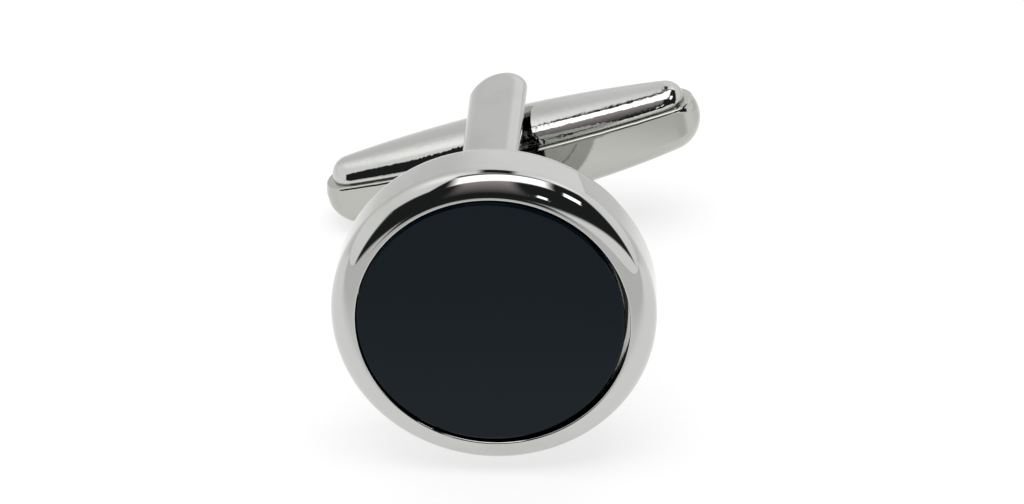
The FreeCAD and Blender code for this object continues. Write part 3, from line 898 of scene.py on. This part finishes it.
def studio():
    """What mirrors see around the cufflink; the camera sees plain white."""
    world = bpy.data.worlds.new("studio")
    world.use_nodes = True
    bpy.context.scene.world = world
    bench = Bench(world.node_tree)
    way = bench.node("ShaderNodeTexCoord")["Generated"]
    parts = bench.node("ShaderNodeSeparateXYZ", {}, {"Vector": way})
    across = parts["X"]
    along = parts["Y"]
    level = (across * across + along * along).root().most(LEAST_LEVEL)
    tilt = math.degrees(1) * parts["Z"].arc_cosine() / level
    right = across * tilt
    front = -1 * along * tilt

    # The far left corner is cut off, but only as far as its limit.
    limit = inside_edge(right, front, FAR_LEFT_LIMIT)
    inside = inside_edge(right, front, FAR_LEFT_CUT).most(limit)
    for edge in (NEAR_RIGHT_EDGE, NEAR_LEFT_EDGE, LEFT_EDGE, RIGHT_EDGE, FAR_EDGE):
        inside = inside.least(inside_edge(right, front, edge))
    opening = bench.ease(inside, *OPENING_BORDER)

    back = bench.patch(right, front, *GREY_BACK)
    glow = bench.spot(right, front, *LEFT_GLOW).most(bench.spot(right, front, *RIGHT_GLOW))
    hatch = bench.patch(right, front, *DARK_HATCH)
    screen = bench.patch(right, front, *SCREEN_PATCH)
    fading = (FADE_START - FADE_LOSS * front).most(0.0).least(1.0)
    slant = front + LIGHT_SLANT * (right - LIGHT_PATCH[0][0])
    light = bench.patch(right, slant, *LIGHT_PATCH)
    big_window = bench.patch(right + BIG_WINDOW_SLANT * front, front, *BIG_WINDOW)
    small_window = bench.patch(right + SMALL_WINDOW_SLANT * front, front, *SMALL_WINDOW)

    shade = bench.blend(back, WALL, BACK_WALL)
    shade = bench.blend(glow, shade, LIT_WALL)
    shade = bench.blend(opening.most(hatch), shade, DARK_ROOM)
    shade = bench.blend(screen * fading, shade, WARM_SCREEN)
    shade = bench.blend(light.most(big_window).most(small_window), shade, LIGHT)
    seen = bench.node("ShaderNodeLightPath")["Is Camera Ray"]
    shade = bench.blend(seen, shade, grey(1.0))
    glare = bench.node("ShaderNodeBackground", {}, {"Color": shade, "Strength": 1.0})["Background"]
    bench.node("ShaderNodeOutputWorld", {}, {"Surface": glare})


def lamp(name, spot, target, width, depth, radiance):
    """A flat soft light that faces its target."""
    data = bpy.data.lights.new(name, "AREA")
    data.shape = "RECTANGLE"
    data.size = width
    data.size_y = depth
    data.energy = radiance * math.pi * width * depth
    holder = bpy.data.objects.new(name, data)
    bpy.context.scene.collection.objects.link(holder)
    holder.location = spot
    holder.visible_glossy = False
    holder.rotation_euler = (Vector(target) - Vector(spot)).to_track_quat("-Z", "Y").to_euler()


def floor():
    """A white sheet; mirrors see painted shade on it to the front and the back, and a painted dark area further
    ahead, where the sheet itself goes on.
    """
    bpy.ops.object.select_all(action="DESELECT")
    bpy.ops.mesh.primitive_plane_add(size=FLOOR_SIZE)
    sheet = bpy.context.object
    sheet.name = "white_floor"
    material, bench = new_material("white_floor")
    spot = bench.node("ShaderNodeTexCoord")["Object"]
    place = bench.node("ShaderNodeSeparateXYZ", {}, {"Vector": spot})
    ahead = -1 * place["Y"]
    inside = PAINTED_DARK_WIDTH * ahead - (place["X"] + PAINTED_DARK_SLANT * ahead).size()
    painted_dark_area = bench.ease(ahead, *PAINTED_DARK_RUN) * bench.ease(inside, *PAINTED_DARK_BORDER)
    path = bench.node("ShaderNodeLightPath")
    mirrored = path["Is Glossy Ray"]
    seen = path["Is Camera Ray"].most(mirrored).most(path["Is Transmission Ray"])
    # Painted shade, seen only in mirrors: the floor darkens to the front and the back.
    to_front = FRONT_PAINTED_SHADE * bench.ease(ahead, *FRONT_PAINTED_SHADE_RUN)
    to_back = BACK_PAINTED_SHADE * bench.ease(place["Y"], *BACK_PAINTED_SHADE_RUN)
    glow = FLOOR_LIFT * seen + mirrored * (MIRROR_LIFT - to_front - to_back)
    matte = bench.node("ShaderNodeBsdfDiffuse", {}, {"Color": FLOOR_COLOUR})["BSDF"]
    lift = bench.node("ShaderNodeEmission", {}, {"Color": glow})["Emission"]
    both = bench.node("ShaderNodeAddShader", {}, {0: matte, 1: lift})["Shader"]
    painted_dark = bench.node("ShaderNodeEmission", {}, {"Color": DARK_ROOM})["Emission"]
    # Painted dark, seen only in mirrors: further ahead the floor shows the dark room's colour.
    painted_dark_in_mirrors = painted_dark_area * mirrored
    cut = bench.node("ShaderNodeMixShader", {}, {0: painted_dark_in_mirrors, 1: both, 2: painted_dark})["Shader"]
    bench.node("ShaderNodeOutputMaterial", {}, {"Surface": cut})
    sheet.data.materials.append(material)


studio()
floor()
lamp("ceiling_light", LAMP_SPOT, LAMP_TARGET, LAMP_WIDTH, LAMP_DEPTH, LAMP_RADIANCE)

# Camera: the photograph's viewing angle and scale, the cufflink in the middle.
VIEW_TURN = math.radians(4.3)
VIEW_LIFT = math.radians(42.35)
VIEW_ROLL = math.radians(2.14)
VIEW_DISTANCE = 0.15736
LENS = 113.6
AIM_RIGHT = 0.951 * MM
AIM_UP = 3.527 * MM
SENSOR_WIDTH = 36.0
CLIP_START = 0.001


def camera():
    """Stands at the viewing angle, level but for a small roll, and looks at the aim."""
    back = Vector(
        (
            math.sin(VIEW_TURN) * math.cos(VIEW_LIFT),
            -math.cos(VIEW_TURN) * math.cos(VIEW_LIFT),
            math.sin(VIEW_LIFT),
        )
    )
    level = Vector((math.cos(VIEW_TURN), math.sin(VIEW_TURN), 0))
    right = math.cos(VIEW_ROLL) * level - math.sin(VIEW_ROLL) * back.cross(level)
    up = back.cross(right)
    data = bpy.data.cameras.new("camera")
    data.lens = LENS
    data.sensor_width = SENSOR_WIDTH
    data.clip_start = CLIP_START
    holder = bpy.data.objects.new("camera", data)
    bpy.context.scene.collection.objects.link(holder)
    holder.location = lip_centre + back * VIEW_DISTANCE
    aim = lip_centre + right * AIM_RIGHT + up * AIM_UP
    sight = (holder.location - aim).normalized()
    top = sight.cross(right).normalized()
    side = top.cross(sight)
    holder.rotation_euler = Matrix((side, top, sight)).transposed().to_euler()
    bpy.context.scene.camera = holder


camera()
bpy.context.scene.view_settings.view_transform = "Standard"
